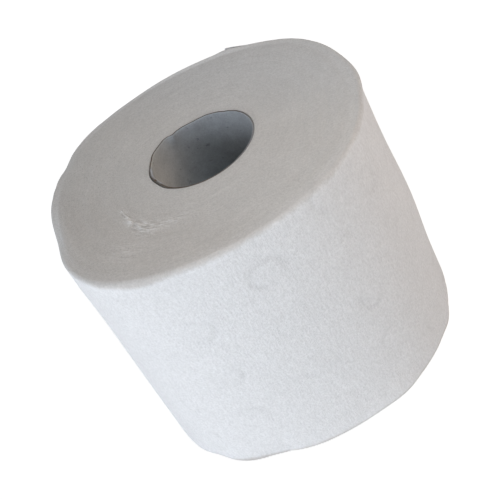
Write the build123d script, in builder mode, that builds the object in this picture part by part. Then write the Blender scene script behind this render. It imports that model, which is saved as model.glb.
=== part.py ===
from build123d import *
import os
from math import cos, radians, sin

# A toilet paper roll that stands on its lower end: one web of tissue, wound on a card tube.
# Lengths are in millimetres and angles in degrees. +Z runs up the tube's axis and the origin is on that
# axis at the lower end. -Y is the front, and the web's loose end is at the back.

# Card tube
core_outer_radius = 20.0
core_wall = 0.6

# Wound web
web_width = 95.0  # also the tube's length, because both are cut to width together
roll_radius = 60.0  # mean radius of the outermost turn
sheet_thickness = 0.33  # the outermost turn grows by one sheet on its way round
winding_clearance = 0.15  # between the tube and the first turn
edge_radius = 2.4  # softened edge of the outer turns, at both ends
edge_facets = 5

# Squeezed section: how far the outermost turn stands out and toward which angle, in two, three and four lobes
arc_count = 16  # tangent arcs in one turn
oval_bulge = 1.1
oval_angle = 45.0
three_sided_bulge = 0.45
three_sided_angle = -15.0
four_sided_bulge = 1.3
four_sided_angle = 36.5
squeeze = (
    (2, oval_bulge, oval_angle),
    (3, three_sided_bulge, three_sided_angle),
    (4, four_sided_bulge, four_sided_angle),
)
winding_shift_x = -1.0  # centre of the outermost turn, off the tube's axis
winding_shift_y = 0.5

# Loose end of the web
loose_end_angle = 57.5  # where the last arc would meet the first one if it lay flat
loose_end_lift = 1.4  # how far it stands off the turn below

# Groups of turns that stand staggered on each end
turn_groups = 9
group_step = 0.3  # every other group lies this much deeper
group_sway_share = 0.3  # how uneven the groups' widths are
group_sway_angle = 140.0
rim_land = 1.0  # flat ring between the softened edge and the outermost group
inner_turns_share = 0.4  # share of the winding that is one round body, which the outer turns grow out of

# Sizes that follow
paper_bore_radius = core_outer_radius + winding_clearance
ring_span = roll_radius - edge_radius - rim_land - paper_bore_radius
arc_turn = 360 / arc_count


def heading(angle):
    """Unit vector that points from the axis toward an angle."""
    return Vector(cos(radians(angle)), sin(radians(angle)))


def turn_arcs(share, mean_radius, growth=0.0, lift=0.0):
    """Tangent arcs of one turn, each as its centre, radius and start angle, from the loose end round.

    The share says how much of the squeeze the turn takes: none on the tube, and all of it outside.
    Each arc's centre lies on the line through the joint with the arc before it, so the turn has no kinks.
    """
    arcs = []
    joints = []
    joint = Vector(0, 0)
    for step in range(arc_count):
        start = loose_end_angle + step * arc_turn
        middle = start + arc_turn / 2
        curl = sum(
            (sides**2 - 1) * bulge * cos(radians(sides * (middle - toward)))
            for sides, bulge, toward in squeeze
        )
        radius = mean_radius + growth * (step / arc_count - 1 / 2) - share * curl
        if step == arc_count - 1:
            radius += lift / (1 - cos(radians(arc_turn)))
        centre = joint - heading(start) * radius
        arcs.append((centre, radius, start))
        joints.append(joint)
        joint = centre + heading(start + arc_turn) * radius
    placed = Vector(winding_shift_x, winding_shift_y) * share - sum(joints, Vector(0, 0)) / arc_count
    return [(centre + placed, radius, start) for centre, radius, start in arcs]


def edge_points(radius):
    """Corner points of the softened lower edge, from the end face out to the side, as radius and height."""
    angles = [radians(90 * facet / edge_facets) for facet in range(edge_facets + 1)]
    inner = radius - edge_radius
    return [(inner + edge_radius * sin(angle), edge_radius - edge_radius * cos(angle)) for angle in angles]


def group_share(group):
    """Where a group of turns ends, as a share of the way from the tube to the rim's flat ring."""
    return (group + group_sway_share * sin(radians(group * group_sway_angle))) / turn_groups


# Wound web, with all its turns as one solid
with BuildPart() as paper_roll:
    # The inner turns, round about the tube
    with BuildSketch():
        Circle(paper_bore_radius + inner_turns_share * ring_span)
    extrude(amount=web_width)

    # The outer turns, one sector for each arc of the outermost turn
    for centre, radius, start in turn_arcs(1, roll_radius, sheet_thickness, loose_end_lift):
        outward = heading(start)
        lower_edge = edge_points(radius)
        upper_edge = [(reach, web_width - height) for reach, height in reversed(lower_edge)]
        with BuildSketch(Plane(centre, x_dir=outward, z_dir=outward.cross(Vector(0, 0, 1)))):
            with BuildLine():
                Polyline((0, 0), *lower_edge, *upper_edge, (0, web_width), close=True)
            make_face()
        revolve(axis=Axis(centre, (0, 0, 1)), revolution_arc=arc_turn)

    # The way through for the tube
    with BuildSketch():
        Circle(paper_bore_radius)
    extrude(amount=web_width, mode=Mode.SUBTRACT)

    # The staggered groups of turns on both ends
    for height, depth in ((0, group_step), (web_width, -group_step)):
        with BuildSketch(Plane.XY.offset(height)):
            for group in range(turn_groups - 1, 0, -1):
                share = group_share(group)
                with BuildLine():
                    for centre, radius, start in turn_arcs(share, paper_bore_radius + share * ring_span):
                        CenterArc(centre, radius, start, arc_turn)
                make_face(mode=Mode.ADD if (turn_groups - group) % 2 else Mode.SUBTRACT)
        extrude(amount=depth, mode=Mode.SUBTRACT)

# Card tube
with BuildPart() as core_tube:
    with BuildSketch():
        Circle(core_outer_radius)
        Circle(core_outer_radius - core_wall, mode=Mode.SUBTRACT)
    extrude(amount=web_width)

os.makedirs("parts", exist_ok=True)
paper_roll.part.label = "paper_roll"
export_step(paper_roll.part, "parts/paper_roll.step")
core_tube.part.label = "core_tube"
export_step(core_tube.part, "parts/core_tube.step")
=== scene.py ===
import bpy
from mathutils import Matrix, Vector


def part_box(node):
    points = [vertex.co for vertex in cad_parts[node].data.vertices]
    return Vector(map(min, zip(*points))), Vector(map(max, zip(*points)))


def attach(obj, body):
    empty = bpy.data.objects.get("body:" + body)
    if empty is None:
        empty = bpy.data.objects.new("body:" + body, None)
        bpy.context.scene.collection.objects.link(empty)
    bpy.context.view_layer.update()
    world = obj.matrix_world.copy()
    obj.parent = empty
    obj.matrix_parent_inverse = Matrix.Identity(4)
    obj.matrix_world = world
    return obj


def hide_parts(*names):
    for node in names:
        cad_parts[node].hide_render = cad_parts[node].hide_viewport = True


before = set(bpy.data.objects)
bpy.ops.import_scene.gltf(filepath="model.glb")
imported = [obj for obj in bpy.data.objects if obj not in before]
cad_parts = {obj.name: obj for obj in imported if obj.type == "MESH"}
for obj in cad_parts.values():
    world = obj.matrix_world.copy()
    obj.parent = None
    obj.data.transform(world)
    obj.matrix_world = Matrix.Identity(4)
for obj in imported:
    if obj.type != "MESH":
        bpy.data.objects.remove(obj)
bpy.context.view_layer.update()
paper_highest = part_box("paper_roll")[1]
tube_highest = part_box("core_tube")[1]

from collections import namedtuple
from math import atan2, cos, degrees, exp, hypot, pi, radians, sin, sqrt, tau
from types import SimpleNamespace

import bmesh
import bpy
from bpy.props import FloatProperty, FloatVectorProperty, IntProperty, PointerProperty
from mathutils import Matrix, Vector, noise

bl_info = {
    "name": "Toilet Paper Roll",
    "version": (1, 0, 0),
    "blender": (4, 5, 0),
    "location": "3D View > Sidebar > Paper Roll",
    "description": "Builds a toilet paper roll round its packed solids, and the stage that shows it",
    "category": "Add Mesh",
}

# Lengths are in metres and angles in radians, apart from the tables of places below, which are in millimetres
# and degrees. +Z runs up the tube's axis from the lower end, -Y is the front, and bearings turn left from +X.
MILLIMETRE = 0.001
TINY = MILLIMETRE / 1000  # lengths and angles below this count as nothing
SHARP_EDGE = radians(55)  # edges that turn more than this stay sharp


# Settings

def length(name, description, millimetres):
    """A length that a user may set, given in millimetres."""
    return FloatProperty(
        name=name,
        description=description,
        default=millimetres * MILLIMETRE,
        precision=5,
        unit="LENGTH",
    )


def turn_angle(name, description, bearing):
    """An angle that a user may set, given in degrees."""
    return FloatProperty(name=name, description=description, default=radians(bearing), unit="ROTATION")


def count(name, description, default):
    """A number of things that a user may set."""
    return IntProperty(name=name, description=description, default=default, min=1)


def colour(name, description, default):
    """A colour that a user may set."""
    return FloatVectorProperty(
        name=name,
        description=description,
        default=default,
        subtype="COLOR",
        min=0,
        max=1,
    )


class WindingSizes(bpy.types.PropertyGroup):
    """Sizes of the wound paper."""

    web_width: length("Web width", "Width of the web and height of the roll", paper_highest.z / MILLIMETRE)
    roll_radius: length("Roll radius", "Mean radius of the outermost turn", 60.0)
    bore_radius: length("Bore radius", "Radius of the first turn, just clear of the tube", 20.15)
    edge_radius: length("Edge radius", "Softened edge of the outer turns, at both ends", 1.8)
    sheet: length("Sheet", "How far one turn lies from the next", 0.33)
    oval_bulge: length("Oval bulge", "How far the squeezed roll stands out on two sides", 1.07)
    oval_angle: turn_angle("Oval angle", "Where the two sides stand out", 45.0)
    three_sided_bulge: length("Three-sided bulge", "How far the roll stands out on three sides", 0.42)
    three_sided_angle: turn_angle("Three-sided angle", "Where the three sides stand out", -15.0)
    four_sided_bulge: length("Four-sided bulge", "How far the roll stands out on four sides", 1.17)
    four_sided_angle: turn_angle("Four-sided angle", "Where the four sides stand out", 36.5)
    shift_x: length("Sideways shift", "How far the outermost turn lies to the right of the tube's axis", -1.0)
    shift_y: length("Backward shift", "How far the outermost turn lies behind the tube's axis", 0.5)
    stagger: length("Stagger", "How unevenly the turns stand on the end faces", 0.3)
    edge_wobble: length("Edge wobble", "How unevenly the softened edge runs", 0.16)
    sway: length("Sway", "How far the side swells and sinks", 0.16)

    pressed_angle: turn_angle("Pressed edge's angle", "Where the upper edge is pressed in", 178.5)
    pressed_depth: length("Pressed edge's depth", "How far the upper edge is pressed in", 1.8)
    pressed_reach: length("Pressed edge's reach", "How far round the upper edge is pressed in", 11.0)

    loose_angle: turn_angle("Loose end's angle", "Which way the web's loose end faces where it stops", 66.5)
    loose_reach: length("Loose end's reach", "How far the web's loose stretch reaches round the roll", 32.0)
    loose_swell: length("Loose end's swell", "How far the slack turns under the loose end stand out", 0.8)
    slack_reach: length("Slack reach", "How far round the slack turns stand out before the loose end", 11.0)
    loose_fall: length("Loose end's fall", "How far past the loose end the slack turns lie down again", 5.0)
    loose_gap: length("Loose end's gap", "How far the loose end's tip stands off the turn below", 0.1)
    loose_rise: length("Loose end's rise", "How far the loose end's tip stands above the turn below", 0.2)
    tip_reach: length("Loose tip's reach", "How far round the loose end stands off the turn below", 9.0)
    tear_tooth: length("Tear tooth", "How far the torn edge's teeth stand out", 0.5)

    # The cut turns' tone holds painted shade, which lasts over the softened edge and fades into the web's
    # white
    rim_start: length("Rim's start", "How far over the edge the cut turns' tone lasts", 0.8)
    rim_fade: length("Rim's fade", "How far from there the cut turns' tone fades into the web's white", 3.4)
    # The pale rim is partly the outer turns' white and partly painted light from behind
    pale_reach: length("Pale rim's reach", "How wide the loose outermost turns show their white faces", 5.0)
    fray_radius: length("Frayed turns' radius", "How far from the axis the frayed turns start", 33.4)
    fray_bulge: length("Frayed turns' bulge", "How far the frayed turns swing out on their way round", 3.3)
    fray_width: length("Frayed turns' width", "How wide the frayed turns are at their widest", 3.0)
    fray_start: turn_angle("Frayed turns' start", "Where the frayed turns start", 187.0)
    fray_stop: turn_angle("Frayed turns' stop", "Where the frayed turns stop", 252.0)
    wisp_lift: length("Wisp lift", "How far the frayed turns' wisps stand up", 0.5)

    ring_radius: length("Stamped ring radius", "Radius of the faint rings stamped into the web", 4.85)
    ring_line: length("Stamped line", "Width of the stamped rings' line", 0.75)
    ring_depth: length("Stamped depth", "Depth of the stamped rings", 0.3)
    ring_row: length("Stamped rows", "Distance between the stamped rings up the side", 22.0)
    ring_start: length("First stamped ring", "Height of the lowest whole ring", 13.2)
    ring_columns: count("Stamped columns", "Columns of stamped rings round the roll", 16)

    steps_round: count("Steps round", "Faces round the roll", 440)
    upper_rings: count("Upper rings", "Rings of faces on the upper end", 66)
    lower_rings: count("Lower rings", "Rings of faces on the lower end", 16)
    side_rings: count("Side rings", "Rings of faces up the side", 104)
    bore_rings: count("Bore rings", "Rings of faces up the bore", 12)
    edge_rings: count("Edge rings", "Rings of faces in each softened edge", 6)
    loose_steps: count("Loose steps", "Faces round the loose stretch of the web", 28)
    loose_rings: count("Loose rings", "Rings of faces up the loose stretch of the web", 61)


class TubeSizes(bpy.types.PropertyGroup):
    """Sizes of the card tube."""

    outer_radius: length("Outer radius", "Outside radius of the card tube", tube_highest.x / MILLIMETRE)
    wall: length("Wall", "Thickness of the card", 0.6)
    tube_length: length("Length", "Length of the card tube", tube_highest.z / MILLIMETRE)
    edge: length("Edge", "Rounding of the cut card's corners", 0.14)
    rough_edge: length("Rough edge", "How unevenly the card is cut", 0.3)
    seam_pitch: length("Seam pitch", "How far the card's seam climbs in one turn", 88.0)
    seam_start: turn_angle("Seam start", "Where the card's seam meets the lower end", -126.05)
    seam_width: length("Seam width", "Width of the groove at the card's seam", 0.7)
    seam_depth: length("Seam depth", "Depth of the groove at the card's seam", 0.12)
    steps_round: count("Steps round", "Faces round the tube", 360)
    inner_rings: count("Inner rings", "Rings of faces up the inside", 120)
    outer_rings: count("Outer rings", "Rings of faces up the outside", 9)
    cut_rings: count("Cut rings", "Rings of faces across the cut card", 3)
    edge_rings: count("Edge rings", "Rings of faces in each rounded corner", 2)


class FinishColours(bpy.types.PropertyGroup):
    """Colours of the paper, the card and the floor."""

    tissue: colour("Tissue", "White of the web's face", (0.84, 0.845, 0.86))
    # The cut edges' white is partly their own tone and partly painted shade between the turns
    tissue_end: colour("Tissue end", "Warm white of the web's cut edges", (0.628, 0.612, 0.598))
    tissue_far: colour("Far tissue end", "Cooler white of the cut edges on the right", (0.602, 0.603, 0.608))
    tissue_near: colour("Near tissue end", "Browner white of the cut edges on the left", (0.605, 0.58, 0.56))
    board: colour("Board", "Grey of the card", (0.355, 0.377, 0.405))
    # The left's paler, browner grey is painted warm light on the bore's left wall
    board_lit_left: colour("Warm board", "Browner grey of the card on the left", (0.575, 0.562, 0.527))
    board_edge: colour("Board edge", "Brown of the card's cut edge", (0.11, 0.08, 0.058))
    ground: colour("Floor", "Pale floor", (0.9, 0.9, 0.9))
    shadow: colour("Shadow", "How strongly the floor shows its shade to the camera", (0.42, 0.42, 0.42))


class StageSizes(bpy.types.PropertyGroup):
    """Sizes of the stage and the place of the camera."""

    floor_half: length("Floor", "Half the floor's side", 3000.0)
    lamp_aim: length("Lamps' aim", "Height that the lamps point at", 50.0)
    focal: FloatProperty(name="Focal length", description="Focal length in millimetres", default=77.76)
    sensor: FloatProperty(name="Sensor", description="Width of the sensor in millimetres", default=36.0)
    distance: length("Camera distance", "From the camera to the point that it looks at", 394.5)
    aim_x: length("Aim sideways", "Point that the camera looks at", -2.8)
    aim_z: length("Aim height", "Height that the camera looks at", 47.0)
    elevation: turn_angle("Camera elevation", "How steeply the camera looks down", 36.66)
    roll: turn_angle("Camera roll", "How far the camera is turned about its own line of sight", -30.28)


def setting_names(group):
    """Names of the values that a settings group holds."""
    return [name for name in group.bl_rna.properties.keys() if name not in ("rna_type", "name")]


def plain(group):
    """A settings group's values, in a form that is quick to read at every point."""
    return SimpleNamespace(**{name: getattr(group, name) for name in setting_names(group)})


# Places of the dents, marks and wear, with bearings in degrees and lengths in millimetres

Dent = namedtuple("Dent", "bearing height reach_round reach_up out")
SIDE_DENTS = {
    "swell of the right side": Dent(-11, 43, 24, 17, 1.0),
    "flare of the upper edge on the right": Dent(-9, 95, 9, 3, 1.0),
    "hollow of the left side": Dent(191, 64, 24, 28, -0.6),
    "dent over the lower edge": Dent(248, 0, 8, 6, -1.6),
    "dent of the lower edge at the left front": Dent(217, 0, 10, 7, -1.0),
    "swell of the lower edge at the right front": Dent(287, 0, 8, 6, 1.1),
    "swell of the lower edge on the right": Dent(325, 0, 6, 6, 0.8),
}

Sag = namedtuple("Sag", "bearing reach_round down")
RIM_SAGS = {
    "far side": Sag(103, 17, 0.7),
    "left of the far side": Sag(145, 5, 0.9),
    "under the loose end": Sag(48, 14, 0.4),
    "raised slack at the loose end": Sag(66, 4.5, -0.3),
}

# Where the cut turns' tone, with its painted shade, lasts further over the rim, with the spread in degrees
RimPatch = namedtuple("RimPatch", "bearing spread amount")
LATE_FADES = {
    "far side": RimPatch(95, 45, 2.0),
    "left side": RimPatch(165, 20, 1.0),
    "left front": RimPatch(239, 9.55, 1.4),
}

# How strongly the outermost turns show their white faces, partly their own white and partly painted light
# from behind
PALE_AND_LIT_RIMS = {
    "back": RimPatch(82, 36, 0.6),
    "left": RimPatch(172, 22, 0.32),
}
PALE_AND_LIT_RIM_LEAST = 0.08

# Where specks of shade show between the turns of the upper end
Speckled = namedtuple("Speckled", "x y reach strength")
SPECKLED_PLACES = {
    "left, toward the back": Speckled(-36, 18, 15, 1.0),
    "left": Speckled(-50, 4, 12, 0.6),
    "left front": Speckled(-35, -31, 8, 0.7),
}
SPECKLED_LEAST = 0.15

# Arcs of a stamped ring that show best, with places across from the front
StampedArc = namedtuple("StampedArc", "across height reach strength")
STAMPED_ARCS = {
    "upper right": StampedArc(3.5, 81.5, 5.5, 1.0),
    "lower left": StampedArc(-3.6, 77.0, 4.0, 0.8),
}

# Short crease that runs up from the lower edge, and fades between two heights
CREASE = SimpleNamespace(bearing=-109.6, width=0.9, depth=0.3, fade_start=10, fade_stop=16)

# Turns outside the frayed ones that are a little frayed too, with the spread in degrees
FRAYED_PATCH = SimpleNamespace(bearing=223, spread=11, radius=46.5, width=3.5, strength=0.45)

# How far down and how far in the pressed edge and the sagged rim reach
PRESSED = SimpleNamespace(down=14, drop_down=4, inward=5, drop_share=0.7)
SAGGED = SimpleNamespace(down=5, inward=4)

# Bends of the card's upper rim: each far bend rises between two bearings
FarBend = namedtuple("FarBend", "start stop inward")
FAR_BENDS = (FarBend(28, 48, 0.6), FarBend(66, 84, 0.6), FarBend(84, 98, -0.3))
CARD_KINK = SimpleNamespace(start=108.5, stop=115.5, soft_start=90, soft_stop=138)
CARD_CORNER = SimpleNamespace(out_bearing=119.5, out_spread=4.5, in_bearing=109, in_spread=4, depth=0.3)
CARD_PRESSED = SimpleNamespace(start=138, full=152, ease_off=198, stop=216, inward=0.45)
CARD_DIMPLE = SimpleNamespace(bearing=159, spread=13, inward=0.315)

# How far below the rim the card's kink, its lip and its long bend start and stop fading
CARD_FADES = SimpleNamespace(kink=(1.5, 8), lip=(0.8, 5.5), long_bend=(4, 34))

# Wear of the card: a paler cut edge, a frayed lip, and a part that stands off the paper
CARD_WORN = SimpleNamespace(bearing=-25, spread=55, strength=0.6)
CARD_LIP = SimpleNamespace(start=158, full=172, ease_off=196, stop=214, fade=(0.6, 2.6), inward=0.35)
CARD_APART = SimpleNamespace(bearing=206, spread=23, fade=(2, 9), inward=0.5)


# Shading

class Wire:
    """A socket of a material, written in sums as a number is."""

    def __init__(self, finish, socket):
        self.finish = finish
        self.socket = socket

    def sum(self, operation, *values):
        """A Math node on two values."""
        return self.finish.node("ShaderNodeMath", {"operation": operation}, dict(enumerate(values)))

    def __add__(self, other):
        return self.sum("ADD", self, other)

    def __radd__(self, other):
        return self.sum("ADD", other, self)

    def __sub__(self, other):
        return self.sum("SUBTRACT", self, other)

    def __rsub__(self, other):
        return self.sum("SUBTRACT", other, self)

    def __mul__(self, other):
        return self.sum("MULTIPLY", self, other)

    def __rmul__(self, other):
        return self.sum("MULTIPLY", other, self)


class Finish:
    """Nodes of one material or of the world."""

    def __init__(self, owner):
        owner.use_nodes = True
        self.owner = owner
        self.tree = owner.node_tree
        self.tree.nodes.clear()

    def node(self, kind, settings=None, sockets=None, output=0):
        """Adds a node, sets it up, fills its sockets and returns one of its outputs, if it has any."""
        made = self.tree.nodes.new(kind)
        for setting, value in (settings or {}).items():
            setattr(made, setting, value)
        for socket, value in (sockets or {}).items():
            if isinstance(value, Wire):
                self.tree.links.new(value.socket, made.inputs[socket])
            else:
                made.inputs[socket].default_value = value
        return Wire(self, made.outputs[output]) if made.outputs else None

    def vectors(self, operation, *values, output="Vector"):
        """A sum of vectors, which gives a vector or, at the output Value, a number."""
        return self.node("ShaderNodeVectorMath", {"operation": operation}, dict(enumerate(values)), output)

    def place(self):
        """Object coordinates."""
        return self.node("ShaderNodeTexCoord", output="Object")

    def toward(self, direction):
        """How far a point lies toward a direction."""
        return self.vectors("DOT_PRODUCT", self.place(), direction, output="Value")

    def attribute(self, name):
        """A number that the mesh holds at each of its points."""
        return self.node("ShaderNodeAttribute", {"attribute_name": name}, output="Fac")

    def cloud(self, vector, scale, detail, roughness=0.5):
        """Soft noise about zero, from -0.5 to 0.5."""
        sockets = {"Vector": vector, "Scale": scale, "Detail": detail, "Roughness": roughness}
        return self.node("ShaderNodeTexNoise", None, sockets, "Fac") - 0.5

    def ease(self, value, low, high):
        """Rises from 0 at one value to 1 at another."""
        sockets = {"Value": value, "From Min": low, "From Max": high}
        return self.node("ShaderNodeMapRange", {"interpolation_type": "SMOOTHSTEP"}, sockets)

    def blend(self, factor, first, second, kind="MIX"):
        """Two colours mixed."""
        first = first if isinstance(first, Wire) else (*first, 1)
        second = second if isinstance(second, Wire) else (*second, 1)
        settings = {"data_type": "RGBA", "blend_type": kind}
        return self.node("ShaderNodeMix", settings, {0: factor, 6: first, 7: second}, output=2)

    def grey(self, value):
        """A number as a grey colour."""
        return self.node("ShaderNodeCombineColor", None, {0: value, 1: value, 2: value})

    def shaded(self, paint, tone):
        """A colour made darker or paler by a number."""
        return self.blend(1.0, paint, self.grey(tone), "MULTIPLY")

    def relief(self, height):
        """A bumped normal, for a height in millimetres."""
        return self.node("ShaderNodeBump", None, {"Height": height, "Distance": MILLIMETRE, "Strength": 1.0})

    def shown(self):
        """1 where the camera sees the surface, straight on or by a reflection or through something clear."""
        kinds = ("Is Camera Ray", "Is Glossy Ray", "Is Transmission Ray")
        seen, shiny, through = (self.node("ShaderNodeLightPath", output=kind) for kind in kinds)
        return seen + shiny + through

    def surface(self, **sockets):
        """Ends the material in one shader, whose sockets are named with underscores."""
        named = {name.replace("_", " "): value for name, value in sockets.items()}
        shader = self.node("ShaderNodeBsdfPrincipled", None, named)
        self.node("ShaderNodeOutputMaterial", None, {"Surface": shader})
        return self.owner


def toned(paint, factor):
    """A colour times a factor, no paler than white."""
    return [min(1.0, part * factor) for part in paint]


# Sides of the upper end that its tone and colour drift to, with painted light toward the first
PAINTED_LIGHT_SIDE = (0.9, -1.1, 0)
FAR_SIDE = (0.77, 0.64, 0)
NEAR_SIDE = (-0.82, -0.57, 0)

# How strongly each mark of the tissue changes its tone, and how high it stands, in millimetres; the wisp and
# scuff tones are painted light, the strand and stamp tones painted shade
TISSUE_TONES = SimpleNamespace(
    band=0.10,
    line=0.16,
    speck=0.35,
    fibre=0.42,
    crepe=0.3,
    wisp=0.12,
    scuff=0.05,
    painted_strand_shade=0.3,
    stamp=0.09,
)
TISSUE_HEIGHTS = SimpleNamespace(crepe=0.32, side_fibre=0.14, line=0.22, band=0.12, end_fibre=0.3, strand=0.5)

# Painted shade of the end: how it darkens toward both sides, by the square of the way, and beside the tube
SIDEWAYS_SHADE = 15
TUBE_SHADE = 0.06
TUBE_SHADE_TURNS = 8


def tissue_marks(finish):
    """Noises, and numbers that the mesh holds, which the tissue's colour and relief share."""
    names = ("turn", "cut_face", "scuff", "speckle", "wisp", "stamped", "pale_and_lit_rim")
    marks = SimpleNamespace(**{name: finish.attribute(name) for name in names})
    place = finish.place()
    heading = finish.vectors("NORMALIZE", finish.vectors("MULTIPLY", place, (1, 1, 0)))

    def along_turns(around, across, detail, roughness=0.5):
        """Noise that is drawn out along the turns, with so many marks round and across them."""
        round_part = finish.vectors("MULTIPLY", heading, (around, around, 0))
        cross_part = finish.node("ShaderNodeCombineXYZ", None, {"Z": marks.turn * across})
        return finish.cloud(finish.vectors("ADD", round_part, cross_part), 1.0, detail, roughness)

    # Lines and bands of the turns, specks of shade where they lie loose, and strands where they are frayed
    marks.lines = along_turns(around=30, across=0.9, detail=3.0, roughness=0.65)
    marks.bands = along_turns(around=2.2, across=0.16, detail=3.0, roughness=0.6)
    marks.specks = finish.ease(along_turns(around=52, across=0.8, detail=1.0), 0.16, 0.26) * marks.speckle
    marks.strands = along_turns(around=13, across=0.75, detail=2.0, roughness=0.6)

    # Crepe, fibres, tufts and soft clouds
    long_place = finish.vectors("MULTIPLY", place, (1, 1, 0.4))
    tuft_place = finish.vectors("MULTIPLY", place, (1, 1, 0.6))
    marks.crepe = finish.cloud(long_place, scale=1300.0, detail=4.0, roughness=0.7)
    marks.fibre = finish.cloud(place, scale=1500.0, detail=3.0, roughness=0.7)
    marks.tufts = finish.cloud(tuft_place, scale=420.0, detail=3.0, roughness=0.65)
    marks.clouds = finish.cloud(place, scale=90.0, detail=3.0, roughness=0.55)
    return marks


def tissue_paint(finish, marks, colours):
    """White of the web's face, and the warmer white of its cut edges on the ends, with painted shade between
    the turns.
    """
    web = finish.blend(finish.ease(marks.clouds, -0.15, 0.15), colours.tissue, toned(colours.tissue, 0.985))
    far = finish.ease(finish.toward(FAR_SIDE), 0.005, 0.045)
    near = finish.ease(finish.toward(NEAR_SIDE), 0.018, 0.045)
    cut_white = finish.blend(far, colours.tissue_end, colours.tissue_far)
    cut_white = finish.blend(near, cut_white, colours.tissue_near)
    cut_white = finish.shaded(cut_white, 1 - finish.ease(marks.clouds, -0.2, 0.2) * 0.035)
    # Pale rim: the outer turns' white, partly painted light from behind
    rim = finish.blend(marks.pale_and_lit_rim * (1 + marks.tufts * 0.6), cut_white, web)
    # Frayed strands show the web's white, with painted light where they stand up
    pale_lit_strand = finish.ease(marks.strands, 0, 0.14) * marks.scuff
    frayed = finish.blend(pale_lit_strand * 0.7, rim, colours.tissue)
    return finish.blend(finish.ease(marks.cut_face + marks.tufts * 0.5, 0.15, 0.85), web, frayed)


def tissue_tone(finish, marks):
    """How pale each point of the tissue is, with painted light and shade on the ends."""
    sideways = finish.toward((1, 0, 0))
    # Painted light toward one side of the end, and painted shade toward both sides and beside the tube
    shaded_by_tube = 1 - finish.ease(marks.turn, 0, TUBE_SHADE_TURNS)
    painted_end_shade = finish.toward(PAINTED_LIGHT_SIDE) - sideways * sideways * SIDEWAYS_SHADE - shaded_by_tube * TUBE_SHADE
    turns = marks.bands * TISSUE_TONES.band + marks.lines * TISSUE_TONES.line
    shade = 1 + marks.cut_face * (painted_end_shade - turns - marks.specks * TISSUE_TONES.speck)
    web = marks.fibre * TISSUE_TONES.fibre + marks.crepe * TISSUE_TONES.crepe
    # Painted shade between the frayed strands, and painted light on the raised wisps and the scuffed turns
    painted_strand_shade = (1 - finish.ease(marks.strands, -0.16, -0.05)) * marks.scuff
    lit_ruffles = marks.wisp * TISSUE_TONES.wisp + marks.scuff * TISSUE_TONES.scuff
    # The stamped rings' grooves are darkened with painted shade
    return shade + web + lit_ruffles - painted_strand_shade * TISSUE_TONES.painted_strand_shade - marks.stamped * TISSUE_TONES.stamp


def tissue_height(marks):
    """How high the crepe stands on the side, and the turns on the ends."""
    side = marks.crepe * TISSUE_HEIGHTS.crepe + marks.fibre * TISSUE_HEIGHTS.side_fibre
    turns = marks.lines * TISSUE_HEIGHTS.line + marks.bands * TISSUE_HEIGHTS.band
    end = turns + marks.fibre * TISSUE_HEIGHTS.end_fibre
    ruffle = marks.scuff * marks.strands * TISSUE_HEIGHTS.strand
    return side * (1 - marks.cut_face) + end * marks.cut_face + ruffle


def tissue_finish(colours):
    """Creped white web, with the cut turns' lines on the ends."""
    finish = Finish(bpy.data.materials.new("tissue_web"))
    marks = tissue_marks(finish)
    paint = tissue_paint(finish, marks, colours)
    return finish.surface(
        Base_Color=finish.shaded(paint, tissue_tone(finish, marks)),
        Roughness=0.93 + marks.fibre * 0.1,
        Normal=finish.relief(tissue_height(marks)),
        Specular_IOR_Level=0.18,
        Sheen_Weight=0.06,
        Sheen_Roughness=0.5,
    )


def board_finish(colours):
    """Grey recycled card, browner and paler on the left where warm light is painted on, and brown where it is
    cut.
    """
    finish = Finish(bpy.data.materials.new("core_board"))
    place = finish.place()
    cut = finish.attribute("cut_edge")
    frayed = finish.attribute("frayed")
    pulp = finish.cloud(place, scale=240.0, detail=4.0, roughness=0.6)
    grain = finish.cloud(place, scale=1500.0, detail=3.0, roughness=0.7)
    dots = finish.ease(finish.cloud(place, scale=620.0, detail=2.0), 0.16, 0.24)
    plies = finish.cloud(finish.vectors("MULTIPLY", place, (1, 1, 0.3)), scale=2400.0, detail=2.0)

    # Painted warm light on the bore's left wall
    left = finish.ease(finish.toward((-1, 0, 0)), 0.002, 0.024)
    wall = finish.blend(left, colours.board, colours.board_lit_left)
    wall = finish.shaded(wall, 1 - finish.ease(pulp, -0.2, 0.2) * 0.12)
    brown = finish.blend(plies + 0.5, colours.board_edge, toned(colours.board_edge, 0.6))
    both = finish.blend(cut, wall, brown)
    fray = frayed * finish.ease(pulp, -0.15, 0.1)
    paint = finish.blend(fray, both, toned(colours.board, 1.35))
    tone = 1 + grain * 0.55 - dots * 0.28 * (1 - cut)
    return finish.surface(
        Base_Color=finish.shaded(paint, tone),
        Roughness=0.9 + grain * 0.12,
        Normal=finish.relief(grain * 0.08 + pulp * 0.1),
        Specular_IOR_Level=0.2,
    )


def floor_finish(colours):
    """Pale floor that shows white to the camera and keeps the roll's shadow."""
    finish = Finish(bpy.data.materials.new("pale_floor"))
    matte = finish.node("ShaderNodeBsdfDiffuse", None, {"Color": (*colours.ground, 1)})
    away = finish.vectors("LENGTH", finish.place(), output="Value")
    white = 0.82 + finish.ease(away, 0.12, 0.55) * 0.18
    glow = finish.node("ShaderNodeEmission", None, {"Color": finish.grey(white), "Strength": 1.0})
    shade = finish.node("ShaderNodeBsdfDiffuse", None, {"Color": (*colours.shadow, 1)})
    lit = finish.node("ShaderNodeAddShader", None, {0: shade, 1: glow})
    mixed = finish.node("ShaderNodeMixShader", None, {0: finish.shown(), 1: matte, 2: lit})
    finish.node("ShaderNodeOutputMaterial", None, {"Surface": mixed})
    return finish.owner


# Shapes

def bell(distance, width):
    """Falls smoothly from 1 at no distance to nothing, within about two widths."""
    return exp(-((distance / width) ** 2))


def ease(value, low, high):
    """Rises smoothly from 0 at one value to 1 at another."""
    along = min(1.0, max(0.0, (value - low) / (high - low)))
    return along * along * (3 - 2 * along)


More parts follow.
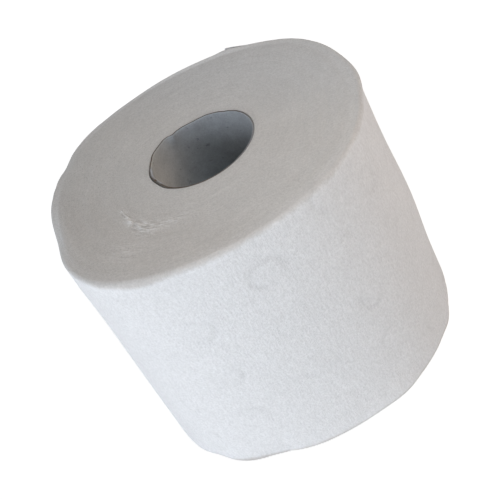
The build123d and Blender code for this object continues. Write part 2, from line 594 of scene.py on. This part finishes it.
def wrapped(angle):
    """The same angle, from minus half a turn to half a turn."""
    return (angle + pi) % tau - pi


def near(angle, bearing, spread):
    """1 at a bearing and less to both sides of it, with the bearing and the spread in degrees."""
    return bell(degrees(wrapped(angle - radians(bearing))), spread)


def between(bearing, stretch):
    """1 within a stretch of bearings that starts, is full, eases off and stops."""
    return ease(bearing, stretch.start, stretch.full) * (1 - ease(bearing, stretch.ease_off, stretch.stop))


def fading(depth, fade):
    """1 at no depth and 0 past the fade, both in millimetres."""
    return 1 - ease(depth, *fade)


def smooth_noise(*place):
    """Smooth noise at a place, from about -1 to 1."""
    return noise.noise(Vector(place))


def round_noise(angle, spread, across):
    """Smooth noise that closes on itself round the roll."""
    return smooth_noise(spread * cos(angle), spread * sin(angle), across)


def card_dent(angle, from_top):
    """How far the card, and the first turns round it, stand out of round near the upper end.

    The far side is bent in up to a kink, sharp only at the rim, and the left side is pressed in.
    """
    bearing = degrees(angle) % 360
    depth = from_top / MILLIMETRE
    far = sum(bend.inward * ease(bearing, bend.start, bend.stop) for bend in FAR_BENDS)
    left = CARD_PRESSED.inward * between(bearing, CARD_PRESSED)
    left += CARD_DIMPLE.inward * bell(bearing - CARD_DIMPLE.bearing, CARD_DIMPLE.spread)
    corner = bell(bearing - CARD_CORNER.out_bearing, CARD_CORNER.out_spread)
    corner -= bell(bearing - CARD_CORNER.in_bearing, CARD_CORNER.in_spread)
    at_rim = far * (1 - ease(bearing, CARD_KINK.start, CARD_KINK.stop)) + left - CARD_CORNER.depth * corner
    below = far * (1 - ease(bearing, CARD_KINK.soft_start, CARD_KINK.soft_stop)) + left
    inward = below + (at_rim - below) * fading(depth, CARD_FADES.kink)
    lasting = (fading(depth, CARD_FADES.lip) + fading(depth, CARD_FADES.long_bend)) / 2
    return -inward * lasting * MILLIMETRE


class Spot:
    """A point of the round roll, before it is squeezed."""

    def __init__(self, place, sizes):
        self.radius = hypot(place.x, place.y)
        self.angle = atan2(place.y, place.x)
        self.height = place.z
        self.upper = place.z > sizes.web_width / 2
        self.from_top = sizes.web_width - place.z
        self.from_end = self.from_top if self.upper else place.z
        self.facing = max(0.0, 1 - self.from_end / sizes.edge_radius)
        inside_edge = self.radius < sizes.roll_radius - sizes.edge_radius
        self.on_upper_flat = self.upper and self.facing > 0 and inside_edge
        self.in_bore = self.facing == 0 and inside_edge

    def place(self):
        """Where the point lies."""
        return Vector((self.radius * cos(self.angle), self.radius * sin(self.angle), self.height))


class Winding:
    """Where the points of the squeezed roll lie, and what its finish reads there."""

    def __init__(self, sizes):
        self.sizes = sizes
        self.flat_radius = sizes.roll_radius - sizes.edge_radius
        self.lobes = (
            (2, sizes.oval_bulge, sizes.oval_angle),
            (3, sizes.three_sided_bulge, sizes.three_sided_angle),
            (4, sizes.four_sided_bulge, sizes.four_sided_angle),
        )

    # The squeezed form

    def point(self, radius, angle, height):
        """Where the squeeze, which is none at the tube and full outside, takes a point of a round turn."""
        sizes = self.sizes
        squeezed = (radius - sizes.bore_radius) / (sizes.roll_radius - sizes.bore_radius)
        reach = radius
        slip = 0.0
        for sides, bulge, toward in self.lobes:
            reach += squeezed * bulge * cos(sides * (angle - toward))
            slip -= squeezed * bulge * sides * sin(sides * (angle - toward))
        x = squeezed * sizes.shift_x + reach * cos(angle) - slip * sin(angle)
        y = squeezed * sizes.shift_y + reach * sin(angle) + slip * cos(angle)
        return Vector((x, y, height))

    def turn(self, radius):
        """How many turns lie inside a radius."""
        return (radius - self.sizes.bore_radius) / self.sizes.sheet

    def beside(self, angle, bearing, reach):
        """1 at a bearing of the side, in degrees, and less within a reach round it, in millimetres."""
        return bell(wrapped(angle - radians(bearing)) * self.sizes.roll_radius, reach * MILLIMETRE)

    # The loose end

    def past_end(self, angle):
        """How far past the loose end a point of the side lies, and below zero where the web covers it."""
        return wrapped(angle - self.sizes.loose_angle) * self.sizes.roll_radius

    def web_growth(self, angle):
        """How far the web's last turn has grown on its way round, with the slack turns under its end."""
        sizes = self.sizes
        way = ((angle - sizes.loose_angle) % tau) / tau
        past = self.past_end(angle)
        if past > 0:
            slack = 1 - ease(past, 0, sizes.loose_fall)
        else:
            slack = max(0.0, 1 + past / sizes.slack_reach) ** 1.5
        return sizes.sheet * (way - 0.5) + sizes.loose_swell * slack

    def growth(self, angle):
        """How far the side has grown, without the loose stretch of the web that lies on it."""
        sizes = self.sizes
        past = self.past_end(angle)
        covered = 0.0
        if past <= 0:
            covered = 1 - ease(-past, 0.3 * sizes.loose_reach, sizes.loose_reach)
        return self.web_growth(angle) - sizes.sheet * covered

    # Marks of the side

    def stamp(self, angle, height):
        """Depth of the stamped rings at a point of the side, which two arcs of one ring show best."""
        sizes = self.sizes
        column_turn = tau / sizes.ring_columns
        column = round(angle / column_turn)
        across = (angle - column * column_turn) * sizes.roll_radius
        row = (height - sizes.ring_start) / sizes.ring_row + (column % 2) / 2
        along = (row - round(row)) * sizes.ring_row
        line = bell(hypot(across, along) - sizes.ring_radius, sizes.ring_line)
        left_over = max(0.0, 0.2 + round_noise(angle, 9, height / (7 * MILLIMETRE)))
        from_front = wrapped(angle + pi / 2) * sizes.roll_radius / MILLIMETRE
        for arc in STAMPED_ARCS.values():
            away = hypot(from_front - arc.across, height / MILLIMETRE - arc.height)
            left_over += arc.strength * bell(away, arc.reach)
        return sizes.ring_depth * line * min(1.0, left_over)

    def crease(self, angle, height):
        """Depth of the short crease that runs up from the lower edge."""
        depth = CREASE.depth * MILLIMETRE * self.beside(angle, CREASE.bearing, CREASE.width)
        return depth * fading(height / MILLIMETRE, (CREASE.fade_start, CREASE.fade_stop))

    def dents(self, angle, height):
        """How far the swells and dents of the side stand out."""
        total = 0.0
        for dent in SIDE_DENTS.values():
            up = bell(height / MILLIMETRE - dent.height, dent.reach_up)
            total += dent.out * self.beside(angle, dent.bearing, dent.reach_round) * up
        return total * MILLIMETRE

    def side_relief(self, angle, height):
        """How far the side stands out of the plain squeezed form."""
        sizes = self.sizes
        x = sizes.roll_radius * cos(angle) / MILLIMETRE
        y = sizes.roll_radius * sin(angle) / MILLIMETRE
        z = height / MILLIMETRE

        # Swells of about 26 mm and ripples of about 9 mm, both longer up the side than round it
        swell = smooth_noise(x / 26, y / 26, 0.6 * z / 26)
        ripple = smooth_noise((x + 3000) / 9, (y + 1000) / 9, (0.45 * z + 2000) / 9)
        sway = sizes.sway * (swell + 0.35 * ripple)
        marks = self.stamp(angle, height) + self.crease(angle, height)
        return sway + self.dents(angle, height) + self.growth(angle) - marks

    # Marks of the ends

    def end_dip(self, spot):
        """How deep the turns lie under the end face's plane."""
        seed = 7.3 if spot.upper else 2.6
        turn = self.turn(spot.radius)
        place = spot.place() / (30 * MILLIMETRE)

        # Groups of about 13 turns, smaller ones of about 5, and broad patches of the end
        groups = smooth_noise(turn / 13, seed, 0.4 * sin(spot.angle))
        turns = smooth_noise(turn / 5, 0.9 * cos(spot.angle) + seed, 0.9 * sin(spot.angle))
        broad = smooth_noise(place.x, place.y, seed)
        return self.sizes.stagger * min(1.0, max(0.0, 0.45 + 0.4 * groups + 0.3 * turns + 0.35 * broad))

    def edge_dip(self, spot):
        """How deep the softened edge lies under its plain form."""
        place = spot.place() / MILLIMETRE
        wobble = noise.noise(place / 6) + 0.7 * noise.noise(place / 2.1)
        return self.sizes.edge_wobble * (0.5 + 0.5 * wobble)

    def pressed(self, spot):
        """How strongly a point of the upper edge is pressed in."""
        sizes = self.sizes
        if not spot.upper:
            return 0.0
        across = wrapped(spot.angle - sizes.pressed_angle) * sizes.roll_radius
        start = self.flat_radius - PRESSED.inward * MILLIMETRE
        return bell(across, sizes.pressed_reach) * ease(spot.radius, start, sizes.roll_radius)

    def rim_sag(self, angle, from_top):
        """How far the outermost turn sinks at its upper edge."""
        total = sum(sag.down * self.beside(angle, sag.bearing, sag.reach_round) for sag in RIM_SAGS.values())
        return total * MILLIMETRE * fading(from_top / MILLIMETRE, (0, SAGGED.down))

    def frayed_turns(self, spot):
        """How strongly a few turns of the upper end are frayed, and how high their wisps stand."""
        if not spot.on_upper_flat:
            return 0.0, 0.0
        sizes = self.sizes
        way = ((spot.angle - sizes.fray_start) % tau) / (sizes.fray_stop - sizes.fray_start)

        # The way runs from 0 to 1, and the turns swing out and widen most a little past its middle
        swing = sizes.fray_bulge * bell(way - 0.58, 0.36)
        width = sizes.fray_width * (0.4 + 0.6 * bell(way - 0.6, 0.25))
        along = ease(way, 0.0, 0.1) * (1 - ease(way, 0.9, 1.05)) * (0.75 + 0.25 * bell(way - 0.5, 0.25))
        frayed = along * bell(spot.radius - sizes.fray_radius - swing, width)
        patch = bell(spot.radius / MILLIMETRE - FRAYED_PATCH.radius, FRAYED_PATCH.width)
        patch *= FRAYED_PATCH.strength * near(spot.angle, FRAYED_PATCH.bearing, FRAYED_PATCH.spread)
        frayed = max(frayed, patch)
        ridge = 1 - 2.6 * abs(smooth_noise(way * 9, spot.radius / (1.4 * MILLIMETRE), 0.6))
        return frayed, frayed * max(0.0, ridge)

    # Tones that the finish reads

    def rim_way(self, spot):
        """How far over the softened edge a point lies, from where the end's flat stops."""
        edge_radius = self.sizes.edge_radius
        over = spot.radius - self.flat_radius
        if over < 0:
            return over
        if spot.from_end > edge_radius:
            return edge_radius * (pi / 2 - 1) + spot.from_end
        return edge_radius * atan2(over, edge_radius - spot.from_end)

    def cut_tone(self, spot):
        """How much of the cut turns' tone, with its painted shade, a point has: all of it on the ends, and
        none on the side.
        """
        further = 0.5 * round_noise(spot.angle, 4, 5.0)
        for late in LATE_FADES.values():
            further += late.amount * near(spot.angle, late.bearing, late.spread)
        over = self.rim_way(spot) - self.sizes.rim_start - further * MILLIMETRE
        return 1 - min(1.0, max(0.0, over / self.sizes.rim_fade))

    def pale_and_lit_rim(self, spot):
        """How far the outermost turns show their white faces, partly their own white and partly painted light
        from behind: most where they lie loose.
        """
        sizes = self.sizes
        loose = max(rim.amount * near(spot.angle, rim.bearing, rim.spread) for rim in PALE_AND_LIT_RIMS.values())
        start = sizes.roll_radius - sizes.pale_reach
        return (PALE_AND_LIT_RIM_LEAST + loose) * ease(spot.radius, start, start + 0.4 * sizes.pale_reach)

    def speckle(self, spot, place):
        """How thickly specks of shade lie between the turns of the upper end."""
        if not spot.on_upper_flat:
            return 0.0
        total = SPECKLED_LEAST
        for speckled in SPECKLED_PLACES.values():
            away = hypot(place.x / MILLIMETRE - speckled.x, place.y / MILLIMETRE - speckled.y)
            total += speckled.strength * bell(away, speckled.reach)
        return min(1.0, total)

    def notes(self, spot, place):
        """What the finish reads at a point that has its place, by name."""
        scuff, wisp = self.frayed_turns(spot)
        return {
            "turn": self.turn(spot.radius),
            "cut_face": self.cut_tone(spot),
            "pale_and_lit_rim": self.pale_and_lit_rim(spot),
            "stamped": self.outer(spot) * self.stamp(spot.angle, spot.height) / self.sizes.ring_depth,
            "scuff": scuff,
            "wisp": wisp,
            "speckle": self.speckle(spot, place),
        }

    # The finished form

    def outer(self, spot):
        """How far a point takes part in what the side does: not at all on the ends' flats."""
        return ease(spot.radius, self.flat_radius - self.sizes.edge_radius, self.sizes.roll_radius)

    def stand(self, spot):
        """How far a point stands out of the squeezed form."""
        sizes = self.sizes
        near_tube = 1 - ease(spot.radius, sizes.bore_radius, 1.6 * sizes.bore_radius)
        stand = card_dent(spot.angle, spot.from_top) * near_tube
        if spot.in_bore:
            stand += sizes.sheet  # keeps the bore's wall clear of the card
        outer = self.outer(spot)
        if outer > 0:
            stand += outer * self.side_relief(spot.angle, spot.height)
        lasting = fading(spot.from_top / MILLIMETRE, (0, PRESSED.down))
        return stand - sizes.pressed_depth * self.pressed(spot) * lasting

    def rise(self, spot):
        """How far a point stands above its height on the round roll."""
        sizes = self.sizes
        slope = min(1.0, max(0.0, (spot.radius - self.flat_radius) / sizes.edge_radius))
        dip = 0.0
        if spot.facing > 0:
            dip = (self.end_dip(spot) * (1 - slope) + self.edge_dip(spot) * slope) * spot.facing
        lasting = fading(spot.from_top / MILLIMETRE, (0, PRESSED.drop_down))
        drop = PRESSED.drop_share * sizes.pressed_depth * self.pressed(spot) * lasting
        sag_start = self.flat_radius - SAGGED.inward * MILLIMETRE
        drop += self.rim_sag(spot.angle, spot.from_top) * ease(spot.radius, sag_start, sizes.roll_radius)
        wisp = self.frayed_turns(spot)[1]
        return (-dip if spot.upper else dip) - drop + sizes.wisp_lift * wisp

    def shaped(self, spot):
        """Where a point of the round roll comes to lie."""
        stand = self.stand(spot)
        moved = Vector((stand * cos(spot.angle), stand * sin(spot.angle), self.rise(spot)))
        return self.point(spot.radius, spot.angle, spot.height) + moved


def mesh_object(name, bm, material):
    """Turns the mesh into an object at the origin, with its finish."""
    for face in bm.faces:
        face.smooth = True
    for edge in bm.edges:
        edge.smooth = edge.calc_face_angle(0) < SHARP_EDGE
    mesh = bpy.data.meshes.new(name)
    bm.to_mesh(mesh)
    bm.free()
    mesh.materials.append(material)
    made = bpy.data.objects.new(name, mesh)
    bpy.context.scene.collection.objects.link(made)
    return made


def section(bm, inner, outer, height, rounded, rounding, rings):
    """A closed section beside the axis, with some of its corners rounded.

    Corners are numbered from the inner lower one, round by the outer ones.
    """
    places = ((inner, 0, 0), (outer, 0, 0), (outer, 0, height), (inner, 0, height))
    corners = [bm.verts.new(place) for place in places]
    bm.faces.new(corners)
    bmesh.ops.bevel(
        bm,
        geom=[corners[number] for number in rounded],
        offset=rounding,
        affect="VERTICES",
        segments=rings,
        profile=0.5,
        material=-1,
    )
    bmesh.ops.delete(bm, geom=bm.faces[:], context="FACES_ONLY")


def divide(bm, runs, chosen):
    """Divides the section's long straight runs whose middle a test chooses, into so many runs."""
    edges = [edge for edge in bm.edges if chosen((edge.verts[0].co + edge.verts[1].co) / 2)]
    longest = max(edge.calc_length() for edge in edges)
    edges = [edge for edge in edges if edge.calc_length() > longest / 2]
    bmesh.ops.subdivide_edges(bm, edges=edges, cuts=runs - 1)


def spin(bm, angle, steps):
    """Spins a line or a section about the axis."""
    geom = bm.verts[:] + bm.edges[:]
    bmesh.ops.spin(bm, geom=geom, cent=(0, 0, 0), axis=(0, 0, 1), angle=angle, steps=steps)


def spin_round(bm, steps, sectors=20):
    """Spins the section through one sector, sets copies of that all round and closes the ring."""
    sweep = tau / sectors
    spin(bm, sweep, steps // sectors)
    sector = bm.verts[:] + bm.edges[:] + bm.faces[:]
    for number in range(1, sectors):
        copied = bmesh.ops.duplicate(bm, geom=sector)["geom"]
        moved = [item for item in copied if isinstance(item, bmesh.types.BMVert)]
        bmesh.ops.rotate(bm, cent=(0, 0, 0), matrix=Matrix.Rotation(sweep * number, 3, "Z"), verts=moved)
    bmesh.ops.remove_doubles(bm, verts=bm.verts, dist=TINY)
    bmesh.ops.recalc_face_normals(bm, faces=bm.faces)


def shape_turns(bm, winding):
    """Moves the round roll's points to the squeezed, staggered winding, and notes what the finish reads."""
    names = ("turn", "cut_face", "pale_and_lit_rim", "stamped", "scuff", "wisp", "speckle")
    layers = {name: bm.verts.layers.float.new(name) for name in names}
    for vert in bm.verts:
        spot = Spot(vert.co, winding.sizes)
        vert.co = winding.shaped(spot)
        for name, value in winding.notes(spot, vert.co).items():
            vert[layers[name]] = value


def loose_end(winding):
    """The web's loose end, a thin sheet that lifts off the roll."""
    sizes = winding.sizes
    low = 0.3 * sizes.edge_radius
    cover = sizes.loose_reach / sizes.roll_radius
    bm = bmesh.new()
    turn = bm.verts.layers.float.new("turn")
    ends = [bm.verts.new((sizes.roll_radius, 0, z)) for z in (low, sizes.web_width - low)]
    line = bm.edges.new(ends)
    bmesh.ops.subdivide_edges(bm, edges=[line], cuts=sizes.loose_rings - 1)
    spin(bm, cover, sizes.loose_steps)
    bmesh.ops.remove_doubles(bm, verts=bm.verts, dist=TINY)
    for vert in bm.verts:
        way = atan2(vert.co.y, vert.co.x) / cover
        vert.co = loose_place(winding, way, sizes.loose_angle - cover * (1 - way) - TINY, vert.co.z)
        vert[turn] = winding.turn(sizes.roll_radius)
    bmesh.ops.recalc_face_normals(bm, faces=bm.faces)
    outward = sum(face.normal.dot(face.calc_center_median().xy.to_3d()) for face in bm.faces)
    if outward < 0:
        bmesh.ops.reverse_faces(bm, faces=bm.faces)
    bmesh.ops.solidify(bm, geom=bm.faces[:], thickness=sizes.sheet)
    return bm


def loose_place(winding, way, angle, height):
    """Where a point of the loose end lies, whose way is 0 where it leaves the roll and 1 at the torn edge."""
    sizes = winding.sizes
    from_top = sizes.web_width - height
    curl = max(0.0, sizes.edge_radius - min(height, from_top))
    tucked = sizes.edge_radius - sqrt(sizes.edge_radius**2 - curl**2)
    lifted = max(0.0, 1 - sizes.loose_reach * (1 - way) / sizes.tip_reach)
    ripple = 1 + 0.5 * smooth_noise(0.3, way * 2, height / (21 * MILLIMETRE))
    gap = sizes.loose_gap * ripple * lifted**1.5
    sunk = 0.3 * sizes.sheet * (1 - ease(way, 0.0, 0.12))
    out = winding.web_growth(angle) + gap - sunk - winding.stamp(angle, height)
    tooth = 0.0
    if way > 0.999:
        tooth = sizes.tear_tooth * smooth_noise(1.7, 0.2, height / (1.6 * MILLIMETRE))
    outward = Vector((cos(angle), sin(angle), 0))
    onward = Vector((-sin(angle), cos(angle), 0))
    place = winding.point(sizes.roll_radius - tucked * (1 - lifted), angle, height)
    place += outward * out + onward * tooth
    place.z += sizes.loose_rise * lifted - winding.rim_sag(angle, from_top)
    return place


def shape_card(bm, sizes):
    """Moves the round tube's points to the bent card with its seam, and notes what the finish reads."""
    inner = sizes.outer_radius - sizes.wall
    cut_edge = bm.verts.layers.float.new("cut_edge")
    frayed = bm.verts.layers.float.new("frayed")
    for vert in bm.verts:
        height = vert.co.z
        radius = hypot(vert.co.x, vert.co.y)
        angle = atan2(vert.co.y, vert.co.x)
        bearing = degrees(angle) % 360
        from_top = sizes.tube_length - height
        from_end = min(height, from_top)
        depth = from_top / MILLIMETRE
        inside = 1 - ease(radius, inner, inner + sizes.wall)

        # Brown of the cut, which stops at the rounded corners and short of the inside, and the frayed lip
        worn = CARD_WORN.strength * near(angle, CARD_WORN.bearing, CARD_WORN.spread)
        at_cut = 1 - ease(from_end, 0.2 * sizes.edge, 1.4 * sizes.edge)
        vert[cut_edge] = at_cut * (1 - worn) * ease(radius, inner, inner + 0.35 * sizes.wall)
        lip = between(bearing, CARD_LIP) * inside * fading(depth, CARD_LIP.fade)
        vert[frayed] = lip

        # Groove of the seam, the bent rim and the rough cut
        seam = wrapped(angle - tau * height / sizes.seam_pitch - sizes.seam_start) * radius
        groove = sizes.seam_depth * bell(seam, sizes.seam_width) * inside * ease(from_end, 0, MILLIMETRE)
        apart = bell(bearing - CARD_APART.bearing, CARD_APART.spread) * fading(depth, CARD_APART.fade)
        inward = (CARD_LIP.inward * lip + CARD_APART.inward * apart) * MILLIMETRE
        radius += groove + card_dent(angle, from_top) - inward
        rough = 0.5 + 0.5 * round_noise(angle, 9, height / (20 * MILLIMETRE))
        sunk = sizes.rough_edge * rough * fading(from_end / MILLIMETRE, (0, 2))
        height += sunk if from_end < from_top else -sunk
        vert.co = (radius * cos(angle), radius * sin(angle), height)


def add_mesh(bm, other):
    """Adds another mesh to this one."""
    held = bpy.data.meshes.new("held")
    other.to_mesh(held)
    other.free()
    bm.from_mesh(held)
    bpy.data.meshes.remove(held)


# Pieces

class PAPER_ROLL_OT_wound_paper(bpy.types.Operator):
    """Wind the tissue web, with its squeezed form, its turns and its loose end"""

    bl_idname = "paper_roll.wound_paper"
    bl_label = "Wound Paper"

    def execute(self, context):
        sizes = plain(context.scene.winding_sizes)
        winding = Winding(sizes)
        bore, outside, top = sizes.bore_radius, sizes.roll_radius, sizes.web_width
        bm = bmesh.new()
        section(bm, bore, outside, top, (1, 2), sizes.edge_radius, sizes.edge_rings)
        divide(bm, sizes.upper_rings, lambda middle: abs(middle.z - top) < TINY)
        divide(bm, sizes.lower_rings, lambda middle: abs(middle.z) < TINY)
        divide(bm, sizes.side_rings, lambda middle: abs(middle.x - outside) < TINY)
        divide(bm, sizes.bore_rings, lambda middle: abs(middle.x - bore) < TINY)
        spin_round(bm, sizes.steps_round)
        shape_turns(bm, winding)
        add_mesh(bm, loose_end(winding))
        paper = mesh_object("wound_paper", bm, tissue_finish(context.scene.finish_colours))
        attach(paper, "root")
        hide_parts("paper_roll")
        return {"FINISHED"}


class PAPER_ROLL_OT_card_tube(bpy.types.Operator):
    """Roll the card tube, with its seam and its cut edges"""

    bl_idname = "paper_roll.card_tube"
    bl_label = "Card Tube"

    def execute(self, context):
        sizes = plain(context.scene.tube_sizes)
        outside, top = sizes.outer_radius, sizes.tube_length
        inside = outside - sizes.wall
        bm = bmesh.new()
        section(bm, inside, outside, top, (0, 1, 2, 3), sizes.edge, sizes.edge_rings)
        divide(bm, sizes.cut_rings, lambda middle: min(abs(middle.z), abs(middle.z - top)) < TINY)
        divide(bm, sizes.inner_rings, lambda middle: abs(middle.x - inside) < TINY)
        divide(bm, sizes.outer_rings, lambda middle: abs(middle.x - outside) < TINY)
        spin_round(bm, sizes.steps_round)
        shape_card(bm, sizes)
        tube = mesh_object("card_tube", bm, board_finish(context.scene.finish_colours))
        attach(tube, "root")
        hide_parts("core_tube")
        return {"FINISHED"}


# Soft square lamps that point at the roll: where each hangs from it, in metres and watts
Lamp = namedtuple("Lamp", "toward distance size power tint")
LAMPS = {
    "key": Lamp((-0.71, -0.70, 0.07), 1.2, 0.8, 7.0, (0.895, 0.94, 1.0)),
    "side key": Lamp((-0.85, -0.49, 0.21), 1.2, 0.8, 5.6, (0.895, 0.94, 1.0)),
    "back": Lamp((-0.2, 0.98, 0.06), 1.2, 0.8, 4.5, (0.9, 0.96, 1.0)),
    "fill": Lamp((0.74, -0.20, 0.64), 0.5, 0.3, 0.67, (1.0, 0.775, 0.635)),
    "front fill": Lamp((0.35, -0.35, 0.87), 0.5, 0.3, 0.6, (0.88, 0.97, 1.0)),
}
WORLD_STRENGTH = 0.2


class PAPER_ROLL_OT_stage(bpy.types.Operator):
    """Lay the floor, hang the lamps and set the camera"""

    bl_idname = "paper_roll.stage"
    bl_label = "Stage"

    def floor(self, context, sizes):
        """A wide level floor."""
        bm = bmesh.new()
        bmesh.ops.create_grid(bm, x_segments=1, y_segments=1, size=sizes.floor_half)
        mesh_object("floor", bm, floor_finish(context.scene.finish_colours))

    def world(self, context):
        """Even light from all round, which the camera sees as white."""
        world = bpy.data.worlds.new("studio")
        context.scene.world = world
        finish = Finish(world)
        white = (1, 1, 1, 1)
        even = finish.node("ShaderNodeBackground", None, {"Color": white, "Strength": WORLD_STRENGTH})
        seen = finish.node("ShaderNodeBackground", None, {"Color": white, "Strength": 1.0})
        mixed = finish.node("ShaderNodeMixShader", None, {0: finish.shown(), 1: even, 2: seen})
        finish.node("ShaderNodeOutputWorld", None, {"Surface": mixed})

    def lamps(self, context, sizes):
        """The soft square lamps."""
        aim = Vector((0, 0, sizes.lamp_aim))
        for name, lamp in LAMPS.items():
            light = bpy.data.lights.new(name, "AREA")
            light.energy = lamp.power
            light.color = lamp.tint
            light.shape = "SQUARE"
            light.size = lamp.size
            made = bpy.data.objects.new(name, light)
            made.location = aim + Vector(lamp.toward).normalized() * lamp.distance
            made.rotation_euler = (aim - made.location).to_track_quat("-Z", "Y").to_euler()
            context.scene.collection.objects.link(made)

    def camera(self, context, sizes):
        """The camera, which looks down at the roll from the front and is turned about its line of sight."""
        camera = bpy.data.cameras.new("camera")
        camera.lens = sizes.focal
        camera.sensor_width = sizes.sensor
        made = bpy.data.objects.new("camera", camera)
        context.scene.collection.objects.link(made)
        back = Vector((0, -cos(sizes.elevation), sin(sizes.elevation)))
        aim = Vector((sizes.aim_x, 0, sizes.aim_z))
        looking = (-back).to_track_quat("-Z", "Y").to_matrix().to_4x4()
        placed = Matrix.Translation(aim + back * sizes.distance)
        made.matrix_world = placed @ looking @ Matrix.Rotation(sizes.roll, 4, "Z")
        context.scene.camera = made

    def execute(self, context):
        sizes = plain(context.scene.stage_sizes)
        self.floor(context, sizes)
        self.world(context)
        self.lamps(context, sizes)
        self.camera(context, sizes)
        context.scene.view_settings.view_transform = "Standard"
        return {"FINISHED"}


class PAPER_ROLL_PT_pieces(bpy.types.Panel):
    """Lists the roll's pieces and its stage"""

    bl_idname = "PAPER_ROLL_PT_pieces"
    bl_label = "Paper Roll"
    bl_space_type = "VIEW_3D"
    bl_region_type = "UI"
    bl_category = "Paper Roll"

    def draw(self, context):
        for operator in operators:
            self.layout.operator(operator.bl_idname)
        for group in settings:
            held = getattr(context.scene, group)
            box = self.layout.box()
            for name in setting_names(held):
                box.prop(held, name)


settings = {
    "winding_sizes": WindingSizes,
    "tube_sizes": TubeSizes,
    "finish_colours": FinishColours,
    "stage_sizes": StageSizes,
}
operators = (PAPER_ROLL_OT_wound_paper, PAPER_ROLL_OT_card_tube, PAPER_ROLL_OT_stage)


def register():
    for name, group in settings.items():
        bpy.utils.register_class(group)
        setattr(bpy.types.Scene, name, PointerProperty(type=group))
    for operator in operators:
        bpy.utils.register_class(operator)
    bpy.utils.register_class(PAPER_ROLL_PT_pieces)


def unregister():
    bpy.utils.unregister_class(PAPER_ROLL_PT_pieces)
    for operator in reversed(operators):
        bpy.utils.unregister_class(operator)
    for name, group in reversed(settings.items()):
        delattr(bpy.types.Scene, name)
        bpy.utils.unregister_class(group)


def main():
    register()
    bpy.ops.paper_roll.wound_paper()
    bpy.ops.paper_roll.card_tube()
    bpy.ops.paper_roll.stage()


if __name__ == "__main__":
    main()
